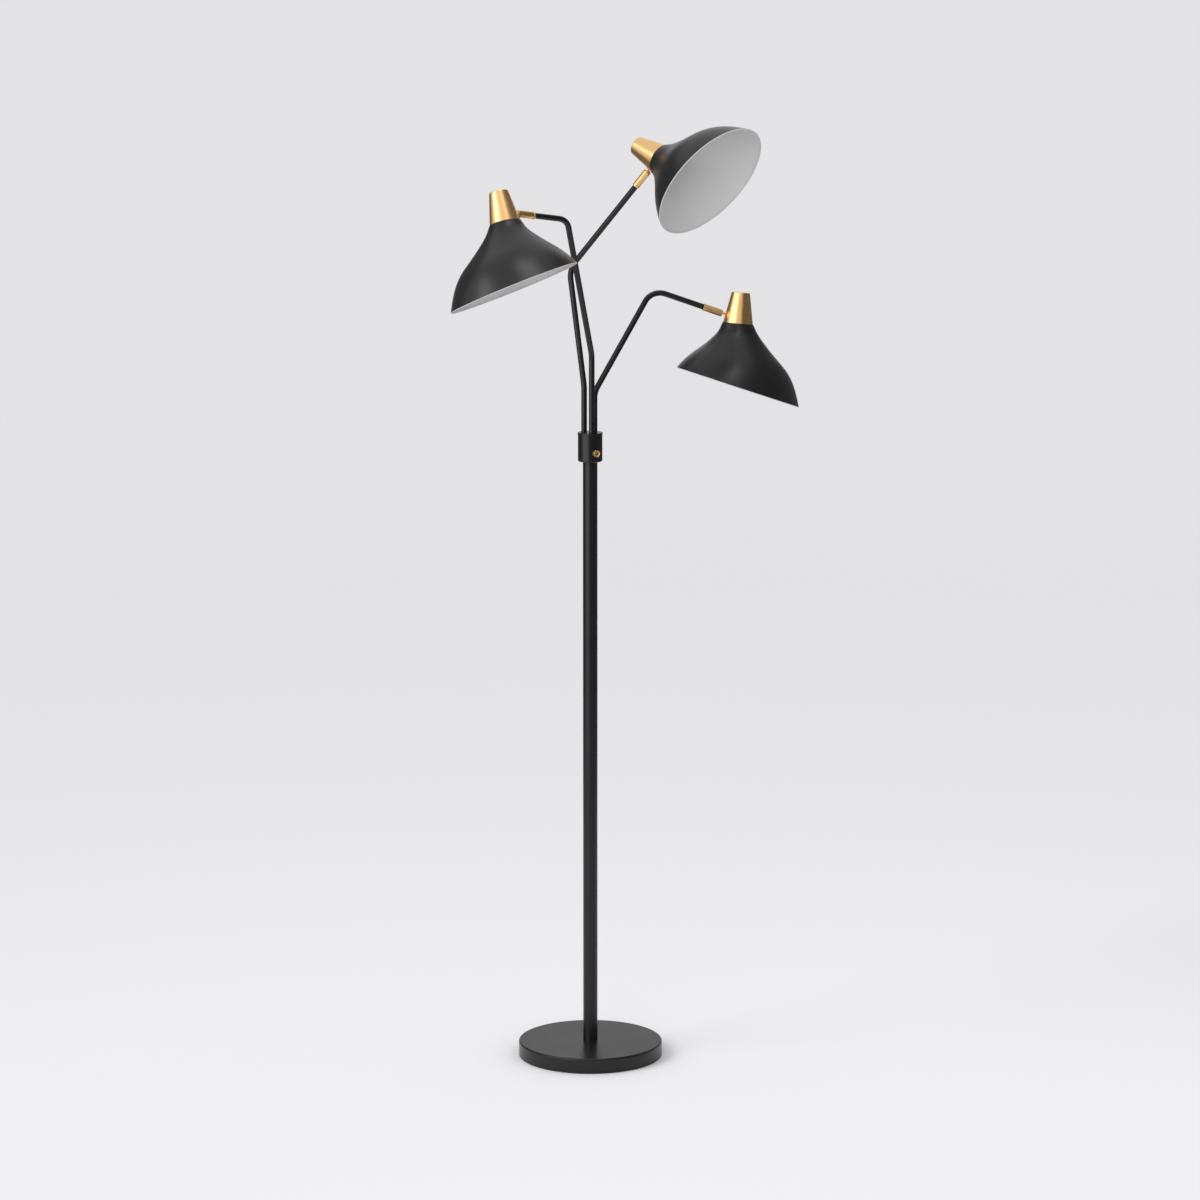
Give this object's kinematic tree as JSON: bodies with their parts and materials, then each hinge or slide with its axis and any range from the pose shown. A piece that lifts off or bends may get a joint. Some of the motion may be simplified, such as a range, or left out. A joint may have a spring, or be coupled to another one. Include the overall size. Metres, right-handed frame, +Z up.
{
  "type": "three-arm floor lamp",
  "caption": "Floor lamp: round weighted base, slim pole, turn switch, and bent arms that carry oblique bell shades on slotted ball swivels.",
  "frame": {"origin": "centre of the base's underside, on the pole's axis, at floor level", "axes": "+Z up the pole, +X to the viewer's right facing the switch knob, -Y towards the viewer"},
  "size_m": [0.6577, 0.6837, 1.8201],
  "materials": {
    "black_paint": "satin black powder coat",
    "shade_paint": "satin black powder coat outside, white enamel inside",
    "brass": "satin lacquered brass",
    "contact_brass": "bare brass",
    "cast_iron": "as cast",
    "plain_steel": "zinc plated",
    "black_plastic": "moulded phenolic, matte",
    "lead_sheath": "matte sheath",
    "base_felt": "pressed felt"
  },
  "bodies": {
    "stand": {"base_cover": "black_paint", "pole_tube": "black_paint", "collar_cup": "black_paint", "collar_lid": "black_paint", "arm_left": "black_paint", "arm_upper": "black_paint", "arm_right": "black_paint", "base_pad": "base_felt", "base_weight": "cast_iron", "base_washer": "plain_steel", "base_nut": "plain_steel", "base_nipple": "plain_steel", "pole_foot_plug": "plain_steel", "pole_top_plug": "plain_steel", "collar_nipple": "plain_steel", "collar_nut": "plain_steel", "arm_nuts": "plain_steel", "lead_inlet": "black_plastic", "switch_body": "black_plastic", "pole_lead": "lead_sheath", "switch_nut": "brass", "arm_lead_left": "lead_sheath", "swivel_bush_left": "brass", "arm_lead_upper": "lead_sheath", "swivel_bush_upper": "brass", "arm_lead_right": "lead_sheath", "swivel_bush_right": "brass"},
    "knob": {"switch_knob": "brass"},
    "barrel_left": {"swivel_barrel_left": "brass"},
    "head_left": {"swivel_ball_left": "brass", "stem_nut_left": "plain_steel", "cap_left": "brass", "holder_bracket_left": "plain_steel", "lamp_holder_left": "black_plastic", "screw_shell_left": "contact_brass", "centre_contact_left": "contact_brass", "shade_ring_left": "plain_steel", "shade_left": "shade_paint"},
    "barrel_upper": {"swivel_barrel_upper": "brass"},
    "head_upper": {"swivel_ball_upper": "brass", "stem_nut_upper": "plain_steel", "cap_upper": "brass", "holder_bracket_upper": "plain_steel", "lamp_holder_upper": "black_plastic", "screw_shell_upper": "contact_brass", "centre_contact_upper": "contact_brass", "shade_ring_upper": "plain_steel", "shade_upper": "shade_paint"},
    "barrel_right": {"swivel_barrel_right": "brass"},
    "head_right": {"swivel_ball_right": "brass", "stem_nut_right": "plain_steel", "cap_right": "brass", "holder_bracket_right": "plain_steel", "lamp_holder_right": "black_plastic", "screw_shell_right": "contact_brass", "centre_contact_right": "contact_brass", "shade_ring_right": "plain_steel", "shade_right": "shade_paint"}
  },
  "joints": [
    {"name": "knob_turn", "type": "hinge", "parent": "stand", "child": "knob", "pos_m": [0, 0, 1.193], "axis": [0.4067, -0.9135, 0], "continuous": true},
    {"name": "left_turn", "type": "hinge", "parent": "stand", "child": "barrel_left", "pos_m": [-0.13131, -0.25088, 1.66991], "axis": [-0.7897, -0.595, 0.1495], "range_deg": [-150, 150]},
    {"name": "left_tilt", "type": "hinge", "parent": "barrel_left", "child": "head_left", "pos_m": [-0.13131, -0.25088, 1.66991], "axis": [-0.6046, 0.7133, -0.3543], "range_deg": [-30.5, 67.5]},
    {"name": "upper_turn", "type": "hinge", "parent": "stand", "child": "barrel_upper", "pos_m": [0.10757, -0.00224, 1.7265], "axis": [0.5668, -0.3556, 0.7431], "range_deg": [-150, 150]},
    {"name": "upper_tilt", "type": "hinge", "parent": "barrel_upper", "child": "head_upper", "pos_m": [0.10757, -0.00224, 1.7265], "axis": [-0.5943, -0.8012, 0.0699], "range_deg": [-57.4, 40.6]},
    {"name": "right_turn", "type": "hinge", "parent": "stand", "child": "barrel_right", "pos_m": [0.25215, 0.12092, 1.44549], "axis": [0.9387, 0.092, -0.3322], "range_deg": [-150, 150]},
    {"name": "right_tilt", "type": "hinge", "parent": "barrel_right", "child": "head_right", "pos_m": [0.25215, 0.12092, 1.44549], "axis": [0.1227, -0.9898, 0.0724], "range_deg": [-51.6, 46.4]}
  ]
}
